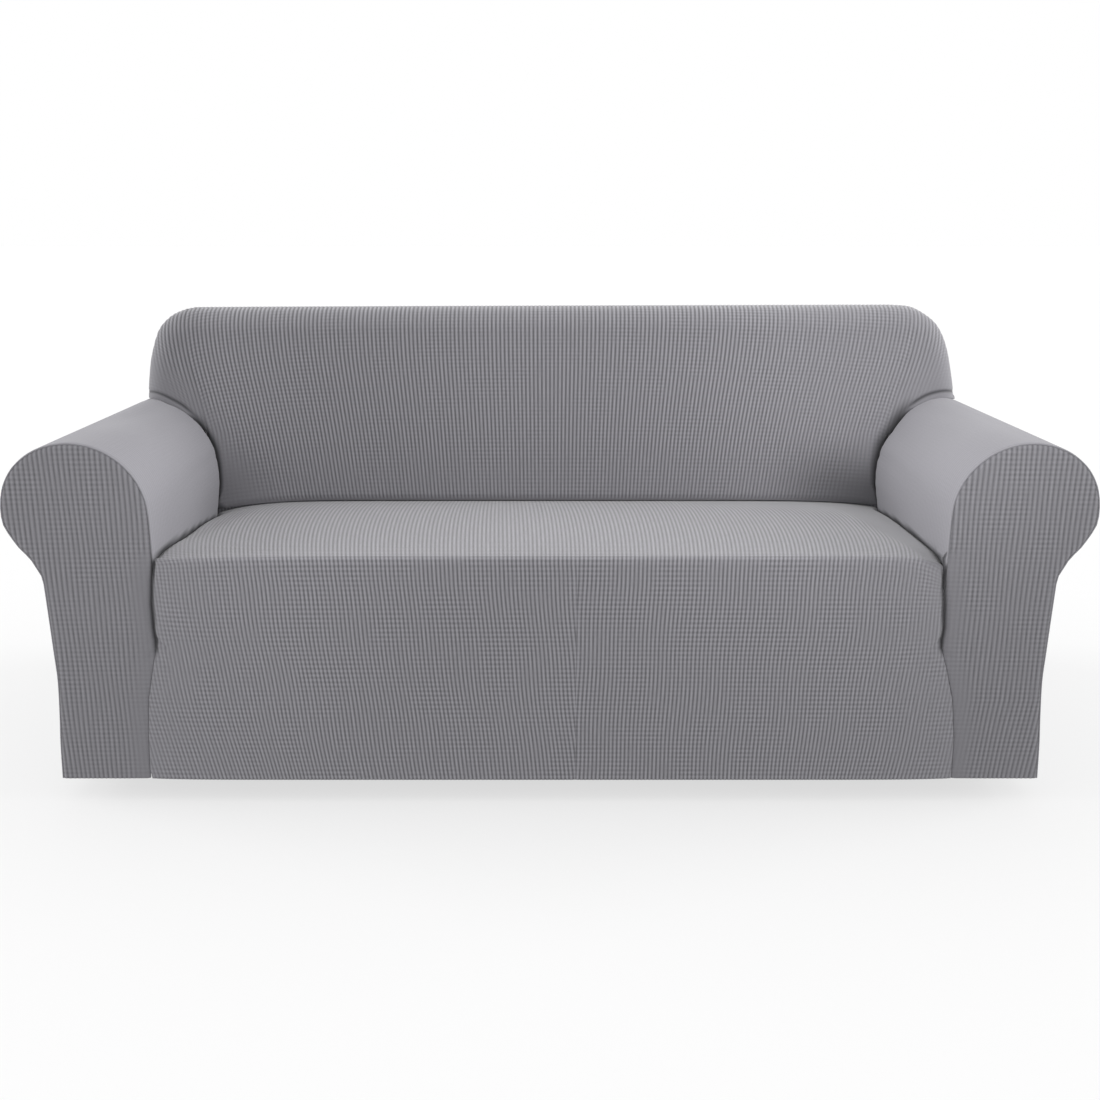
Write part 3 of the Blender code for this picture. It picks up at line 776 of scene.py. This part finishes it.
def makeArmFront(word, side):
    # the flat scroll between the apron's seam and the arm's outline
    part = armFront
    arc = rollArc(roll["from"], roll["to"], 3.0)
    outerLine = np.vstack([arc[np.argmax(arc[:, 1]):], np.array(armSide)])
    outerLine = curveThrough(outerLine[::-1], 500)  # hem up to the roll's top
    seamLine = np.stack([seamX(seamTable[:, 0], side), seamTable[:, 0]], axis=1)
    innerLine = np.vstack([seamLine, [armTuck[-1]], arc[:np.argmax(arc[:, 1]) + 1]])
    outline = np.vstack([innerLine, outerLine[::-1]])
    top = arc[:, 1].max()
    zRoll = roll["z"]

    # rows: level steps up to the roll, then equal steps of angle over it
    level = spaced((0.0, 0.004, 0.002), (0.004, 0.2, 0.01), (0.2, 0.32, 0.005),
                   (0.32, zRoll, 0.008))
    rise = np.linspace(0.0, math.pi / 2, 34)
    rows = np.r_[level[:-1], zRoll + (top - zRoll) * np.sin(rise)]
    innerX = acrossAt(rows, innerLine)
    outerX = acrossAt(rows, outerLine)
    innerX[-1] = outerX[-1]
    innerX = innerX + knit["seam"] * (rows < armTuck[-1][1])
    low, high = ((innerX, outerX) if side > 0 else (-outerX, -innerX))
    low, high = low[:, None], high[:, None]

    # lines: even, gathered a little towards the hem, leaning low on the right
    first = part["inner"] if side > 0 else -part["inner"] - part["wide"]
    even = evenLines(first, part["wide"], part["ribPitch"], rows)
    gather = 1.0 - part["gather"] * (1.0 - np.clip(rows / zRoll, 0.0, 1.0))[:, None]
    middle = part["middle"] * side
    lines = middle + (even - middle) * gather
    lowDown = np.maximum(part["leanBelow"] - rows, 0.0)[:, None]
    lines = lines - (side > 0) * part["lean"] * lowDown
    waver = np.sin(rows[:, None] * part["waverLong"] + even * part["waverWide"])
    lines = lines + part["waver"] * waver

    def surface(x, v):
        # flat, its rim a quarter circle's fall to the rear, sunk at the seam with the apron
        y = part["curl"] * rimFall(nearest(np.abs(x), v, outline), part["curlWide"])
        fromSeam = np.abs(x) - acrossAt(v, innerLine)
        low = fades(v, *part["seamUp"]) * seamDepth(v)
        y = y + part["seamSink"] * low * fades(fromSeam, 0.0, part["seamWide"])
        y = y - foldField(x, v, frontFolds[word])
        return np.stack([x, y, v], axis=-1)

    def raised(x, v, u):
        # relief times the rib's shape, fading at the outline
        rim = smooth(nearest(np.abs(x), v, outline) / part["rimFade"])
        return part["relief"] * knit["relief"] * rim * look(x, v)[0] * ribShape(u)

    def look(x, v):
        # rib share: fading beside the seam with the apron. Painted shade: along the seam's upper part.
        fromSeam = np.abs(x) - acrossAt(v, innerLine)
        below = fades(v, *part["lookUp"])
        share = 1.0 - part["plain"] * below * fades(fromSeam, *part["plainOut"])
        dark = below * grows(v, *seam["darkens"]) * fades(fromSeam, *part["darkOut"])
        return share, seam["dark"] * dark

    piece = layCloth("arm_front_cloth_" + word, rows, lines, low, high, surface, raised, look)
    dress(piece, "arm_front_" + word, frontKnitPaintedShade)


backRibs = {"pitch": 0.0094, "freeX": 0.7, "heldX": 0.84, "held": 0.6, "heldZ": 0.56}
ribEnds = np.array((  # height, then the distance from the middle where ribs fade out
    (0.36, 0.52), (0.46, 0.59), (0.545, 0.66), (0.63, 0.735), (0.716, 0.82),
    (0.78, 0.87), (0.835, 0.95),
))
ribDrawn = np.array((  # height, then a rib's place left and right as a share of it on top
    (0.36, 0.853, 0.832), (0.415, 0.874, 0.852), (0.46, 0.889, 0.867),
    (0.545, 0.9165, 0.895), (0.63, 0.948, 0.93), (0.716, 0.98, 0.968),
    (0.78, 0.995, 0.989), (0.835, 1.0, 1.0), (0.86, 1.0, 1.0),
))
# the shades below are painted shade, darkening the knit's colour
backLook = {  # rib shares and shades; each pair is a ramp's start and width
    "band": 0.9, "far": 0.92, "farWide": 0.11, "low": 0.25, "lowUp": (0.45, 0.1),
    "right": 0.3, "toRight": (0.4, 0.25), "footFade": 0.01,
    "armSlope": 1.3, "onArm": (0.004, 0.02),
    # painted shade along the foot's crease, in the two low corners, at the left end and in the pockets
    # at the seat's corners
    "seatWide": 0.002, "armWide": (0.017, 0.025), "wideFrom": 0.4,
    "seatCrease": 0.25, "armCrease": 0.63,
    "cornerRight": (0.62, (0.44, 0.24), (0.43, 0.14)),  # shade, then ramps outwards and up
    "cornerLeft": (0.26, (0.58, 0.16), (0.42, 0.14)),
    "endLeft": (0.16, (0.72, 0.14)),
    "pocketLeft": (0.85, (0.012, 0.018)), "pocketRight": (0.5, (0.006, 0.018)),
}


def footLine(side):
    # half the back's foot: from its end on the roll down the arm's inner side, each point moved
    # inwards by drawing-in and groove, then along the seat's arch
    arc = rollArc(roll["from"], back["footEnd"])
    line = curveThrough(np.vstack([armTuck, arc]), 240)
    place = station(line[:, 0], line[:, 1])
    inset = leanAt(place, side) + arm["groove"] * grooveShare(place) - back["lift"]
    down = line - outwardOf(line) * inset[:, None]
    rows = np.array(seatRows)
    cornerY = creaseY(0.7, 0.405)
    zMid, zLeft, zRight = [np.interp(cornerY, rows[:, 0], rows[:, k]) for k in (1, 2, 3)]
    zSide = zRight if side > 0 else zLeft
    down = down[down[:, 1] > zSide + back["lift"] + 0.002][::-1]
    x = np.linspace(down[-1, 0], 0.0, 120)
    half = seatSideX(cornerY, zSide, side)
    arch = 1.0 - np.clip(x / half, 0.0, 1.0) ** seat["crownRear"]
    return down, np.stack([x, zSide + (zMid - zSide) * arch + back["lift"]], axis=1)[1:]


def ribDraw(z, top, side):
    # a rib's distance from the middle as a share of what it is at the top; the outer ones
    # stay nearly upright beside the arm
    table = curveThrough(ribDrawn, 200)
    height, share = table[:, 0], table[:, 2 if side > 0 else 1]
    free = np.interp(z, height, share)
    turn = np.interp(backRibs["heldZ"], height, share)
    held = smooth((np.abs(top) - backRibs["freeX"]) / (backRibs["heldX"] - backRibs["freeX"]))
    stiff = turn + (free - turn) * (1.0 - backRibs["held"] * held)
    return np.where(z < backRibs["heldZ"], stiff, free)


def backHalf(side):
    # outline and foot of half the back, with each point's place on the top: x over the rib's share
    onArm, onSeat = footLine(side)
    edge = backOutline(side, 600)
    foot = np.vstack([edge[:1], onArm, onSeat])
    edgeTop = edge[:, 0] / ribDraw(edge[:, 1], edge[:, 0], side)
    footTop = np.minimum.accumulate(foot[:, 0] / ribDraw(foot[:, 1], foot[:, 0], side))
    return {"edge": edge, "foot": foot, "edgeTop": edgeTop, "footTop": footTop,
            "seat": onSeat[::-1]}


def backShade(x, z, fromFoot, fromSeat, over, joint, onArm, halves):
    # rib share: less on the band over the roll, far out, low down, on the right and at the foot.
    # Painted shade: the strongest of the crease, the joint, the pockets at the seat's corners,
    # the two low corners and the left end.
    part = backLook
    band = over * fades(fromFoot, back["jointHigh"], back["jointBand"])
    far = grows(np.abs(x), np.interp(z, *ribEnds.T), part["farWide"])
    share = (1.0 - part["band"] * band) * (1.0 - part["far"] * far)
    share = share * (1.0 - part["low"] * fades(z, *part["lowUp"])) * smooth(fromFoot / part["footFade"])
    share = share * (1.0 - part["right"] * grows(x, *part["toRight"]))

    wide = part["seatWide"] + np.where(x < 0, *part["armWide"]) * onArm
    crease = (part["seatCrease"] + part["armCrease"] * onArm) * (1.0 - over)
    crease = crease * fades(fromFoot, part["wideFrom"] * wide, wide)
    pockets = []
    for half, (dark, reach) in zip(halves, (part["pocketLeft"], part["pocketRight"])):
        pockets.append(dark * fades(np.hypot(np.abs(x) - half["seat"][-1, 0], fromSeat), *reach))
    shades = [crease, np.where(x < 0, *pockets), back["jointShade"] * joint]
    for side, key in ((1, "cornerRight"), (-1, "cornerLeft")):
        dark, outwards, up = part[key]
        shades.append(dark * grows(side * x, *outwards) * fades(z, *up))
    dark, outwards = part["endLeft"]
    shades.append(dark * grows(-x, *outwards))
    return share, np.maximum.reduce(shades)


def makeBack():
    # one cloth from the foot up the face, over the top and round both ends to the rear. A rib's
    # place is its x at the top times its share at each height.
    halves = {side: backHalf(side) for side in (-1, 1)}
    widest = {side: half["edgeTop"][0] * 0.9995 for side, half in halves.items()}
    pitch = backRibs["pitch"] / knit["perRib"]
    first = -math.floor(widest[-1] / pitch)
    final = math.floor(widest[1] / pitch)
    tops = np.arange(first, final + 1) * pitch
    size = len(tops)
    sideOf = np.where(tops < 0, -1, 1)
    highZ, lowZ = np.zeros(size), np.zeros(size)
    for side, half in halves.items():
        at = sideOf == side
        t = np.abs(tops[at])
        highZ[at] = np.interp(t, half["edgeTop"][::-1], half["edge"][::-1, 1])
        keep = np.r_[True, np.diff(half["footTop"]) < -1e-6]
        lowZ[at] = np.interp(t, half["footTop"][keep][::-1], half["foot"][keep][::-1, 1])
    highZ = np.maximum(highZ, lowZ + 0.0006)
    print("back ribs:", size // knit["perRib"])

    mirror = np.array([-1.0, 1.0])
    wholeEdge = np.vstack([halves[-1]["edge"] * mirror, halves[1]["edge"][::-1]])[::6]
    wholeFoot = np.vstack([halves[-1]["foot"][1:] * mirror, halves[1]["foot"][:0:-1]])[::4]
    footOut = np.array(back["footOut"])
    wholeFoot = np.vstack([wholeFoot[:1] + footOut * mirror, wholeFoot, halves[1]["foot"][:1] + footOut])

    # rows of the face, as shares of each rib's height: finer at the foot and at the top
    faceRows = np.r_[0.0, 0.004, 0.009, 0.015, 0.023, 0.032, 0.044, 0.056, 0.068, 0.08, 0.092,
                     0.104, 0.118, 0.134, np.linspace(0.15, 0.8, 36)[:-1],
                     1.0 - 0.2 * np.cos(np.linspace(0.0, math.pi / 2, 18))]
    faceRows[-1] = 1.0
    w = faceRows[:, None]
    z = lowZ + (highZ - lowZ) * w
    draw = np.where(sideOf < 0, ribDraw(z, tops, -1), ribDraw(z, tops, 1))
    x = tops * draw
    away = nearest(x, z, wholeEdge)
    away[-1] = 0.0
    fromFoot = nearest(x, z, wholeFoot)
    seatZ = [np.interp(np.abs(x), *half["seat"].T) for half in halves.values()]
    fromSeat = z - np.where(x < 0, *seatZ)
    y = faceY(x, z) + back["edgeDeep"] * rimFall(away, back["edgeRound"])
    over = smooth((np.abs(x) - back["jointFrom"]) / (back["jointFull"] - back["jointFrom"]))
    joint = over * np.exp(-((fromFoot - back["jointHigh"]) / back["jointWide"]) ** 2)
    onArm = grows(fromSeat - backLook["armSlope"] * fromFoot, *backLook["onArm"])
    sink = back["seatSink"] + (back["footSink"] - back["seatSink"]) * onArm
    y = y + sink * (1.0 - over) * fades(fromFoot, 0.0, back["sinkWide"])
    y = y + back["jointDeep"] * joint
    face = np.stack([x, y, z], axis=-1)

    # over the top: straight from the face's upper edge to the rear, which lies a little lower
    rise = edgeRise(z[-1])
    rear = np.stack([x[-1] - sideOf * back["endNarrow"] * rise,
                     np.full(size, atRear),
                     z[-1] - back["topFall"] * rise], axis=-1)
    topRows = [face[-1] + (rear - face[-1]) * t for t in (0.04, 0.12, 0.25, 0.5, 0.75, 0.95, 1.0)]
    grid = np.concatenate([face, np.array(topRows)])

    # normals of the grid itself: its steps across times its steps along
    across = np.gradient(grid, axis=1)
    along = np.gradient(grid, axis=0)
    normal = np.cross(across, along)
    normal /= np.linalg.norm(normal, axis=2)[:, :, None] + 1e-12
    u = np.repeat((np.arange(size) / knit["perRib"])[None], len(grid), axis=0)
    run = np.cumsum(np.linalg.norm(np.diff(grid, axis=0), axis=2), axis=0)
    v = np.concatenate([np.zeros((1, size)), run])
    share, shade = backShade(x, z, fromFoot, fromSeat, over, joint, onArm, halves.values())
    above = np.ones((len(topRows), size))
    look = np.concatenate([share, above]), np.concatenate([shade, 0.0 * above])
    fade = look[0].copy()
    fade[-1] = 0.0
    outer = grid + normal * (knit["relief"] * fade * ribShape(u))[:, :, None]
    inner = (grid - normal * knit["thickness"])[:, ::knit["liningStep"]]
    places = np.repeat(tops[None], len(grid), axis=0)
    piece = clothMesh("back_cloth", outer, inner, places, u, v, look, False)
    dress(piece, "back_panel", backKnit)


rearPanel = {
    "ribPitch": 0.0085, "relief": 0.8, "fade": 0.008, "wide": 2.02,
    "inset": 0.0012, "swell": 0.001, "swellWide": 5.0, "swellFrom": 2.0, "swellTall": 6.0,
}


def makeOutsideBack():
    # the flat rear between the two arms' outlines and the back's
    part = rearPanel
    limits = {}
    for side in (-1, 1):
        edge = backOutline(side, 400)
        edge = edge - edgeRise(edge[:, 1:]) * [back["endNarrow"], back["topFall"]]
        junction = math.degrees(math.acos((edge[0, 0] - roll["x"]) / (roll["radius"] + roll["swell"])))
        lower = curveThrough(np.vstack([armSide[::-1], rollArc(roll["to"], junction, 8.0)]), 400)
        line = np.vstack([lower, edge])
        keep = np.r_[True, np.diff(np.maximum.accumulate(line[:, 1])) > 1e-7]
        limits[side] = line[keep]
    topZ = min(line[-1, 1] for line in limits.values())
    rows = spaced((0.0, 0.004, 0.002), (0.004, 0.4, 0.024), (0.4, 0.66, 0.008),
                  (0.66, topZ - 0.05, 0.018), (topZ - 0.05, topZ, 0.004))
    low = -acrossAt(rows, limits[-1])[:, None]
    high = acrossAt(rows, limits[1])[:, None]
    lines = evenLines(-part["wide"] / 2, part["wide"], part["ribPitch"], rows)

    def surface(x, v):
        # flat, less a slow swell: one sine across times one upward, a millimetre deep
        wave = np.sin(part["swellWide"] * x + part["swellFrom"])
        wave = wave * np.sin(part["swellTall"] * v)
        y = rearPlane - part["inset"] - part["swell"] * wave
        return np.stack([x, y, v], axis=-1)

    def raised(x, v, u):
        # relief times the rib's shape, fading at both sides and at the top
        edge = smooth(np.minimum(x - low, high - x) / part["fade"])
        edge = edge * smooth((topZ - v) / part["fade"])
        return part["relief"] * knit["relief"] * edge * ribShape(u)

    piece = layCloth("outside_back_cloth", rows, lines, low, high, surface, raised, flip=True)
    dress(piece, "outside_back", frontKnitPaintedShade)


makeSeat()
for word, side in (("left", -1), ("right", 1)):
    makeArm(word, side)
    makeArmFront(word, side)
makeBack()
makeOutsideBack()


studio = {
    "floorDrop": 0.046, "floorTone": 0.22, "floorGlow": 0.66, "floorRough": 0.95,
    "floorShine": 0.1, "floorSide": 30.0, "floorNear": -12.0, "floorFar": 45.0,
    "skyTone": 1.0, "sunPower": 2.3, "sunWide": 40.0, "sunFrom": (1.0, 0.15, 0.36),
    "spotSoft": 0.25,
    "cameraBack": 2.0374, "cameraHigh": 1.021, "focal": 1180.0, "imageSide": 1100.0,
    "levelDrop": 331.0,  # pixels from the picture's middle up to eye level
}
spots = (  # name, place, aim, power, cone in degrees
    ("right_fill", (1.1, -1.9, 1.5), (0.76, 0.68, 0.7), 80.0, 26.0),
    ("middle_fill", (0.4, -1.9, 1.7), (0.34, 0.6, 0.62), 50.0, 34.0),
    ("left_arm", (0.75, -1.3, 0.95), (-0.75, 0.2, 0.54), 45.0, 22.0),
    ("right_arm", (-0.75, -1.3, 0.95), (0.75, 0.2, 0.54), 40.0, 22.0),
)


def makeRoom():
    # a pale floor with a faint glow, and an even white sky
    floor = bpy.data.meshes.new("floor")
    wide, near, far = studio["floorSide"], studio["floorNear"], studio["floorFar"]
    z = hemPlane - studio["floorDrop"]
    corners = [(-wide, near, z), (wide, near, z), (wide, far, z), (-wide, far, z)]
    floor.from_pydata(corners, [], [(0, 1, 2, 3)])
    ground = put("floor", floor)
    pale = bpy.data.materials.new("pale_floor")
    pale.use_nodes = True
    white = (1.0, 1.0, 1.0, 1.0)
    setSockets(pale.node_tree.nodes["Principled BSDF"], {
        "Base Color": (*[studio["floorTone"]] * 3, 1.0), "Roughness": studio["floorRough"],
        "Specular IOR Level": studio["floorShine"],
        "Emission Color": white, "Emission Strength": studio["floorGlow"],
    })
    floor.materials.append(pale)

    world = bpy.data.worlds.new("studio")
    bpy.context.scene.world = world
    world.use_nodes = True
    setSockets(world.node_tree.nodes["Background"], {"Color": white, "Strength": studio["skyTone"]})


def pointed(name, lamp, look):
    # a lamp in the scene, turned to shine along a direction
    thing = put(name, lamp)
    thing.rotation_euler = Vector(look).to_track_quat("-Z", "Y").to_euler()
    return thing


def makeLights():
    # two wide low suns from the sides, then soft spots: two on the back, one on each arm's inside
    for word, side in (("left", -1.0), ("right", 1.0)):
        lamp = bpy.data.lights.new("side_" + word, "SUN")
        lamp.energy = studio["sunPower"]
        lamp.angle = math.radians(studio["sunWide"])
        x, y, z = studio["sunFrom"]
        pointed("side_" + word, lamp, (-side * x, -y, -z))
    for name, place, aim, power, cone in spots:
        lamp = bpy.data.lights.new(name, "SPOT")
        lamp.energy = power
        lamp.spot_size = math.radians(cone)
        lamp.spot_blend = 1.0
        lamp.shadow_soft_size = studio["spotSoft"]
        thing = pointed(name, lamp, np.array(aim) - np.array(place))
        thing.location = np.array(place) + toFrame


def makeCamera():
    # level with cameraHigh over the hem, tilted down by the drop's angle: drop over focal length
    eye = bpy.data.cameras.new("camera")
    eye.sensor_width = 36.0
    eye.lens = studio["focal"] * eye.sensor_width / studio["imageSide"]
    eye.clip_start, eye.clip_end = 0.05, 200.0
    camera = put("camera", eye)
    camera.location = toFrame + np.array([0.0, -studio["cameraBack"], studio["cameraHigh"]])
    camera.rotation_euler = (math.pi / 2 - math.atan(studio["levelDrop"] / studio["focal"]), 0.0, 0.0)
    bpy.context.scene.camera = camera


makeRoom()
makeLights()
makeCamera()
bpy.context.scene.view_settings.view_transform = "Standard"
print("studio ready")
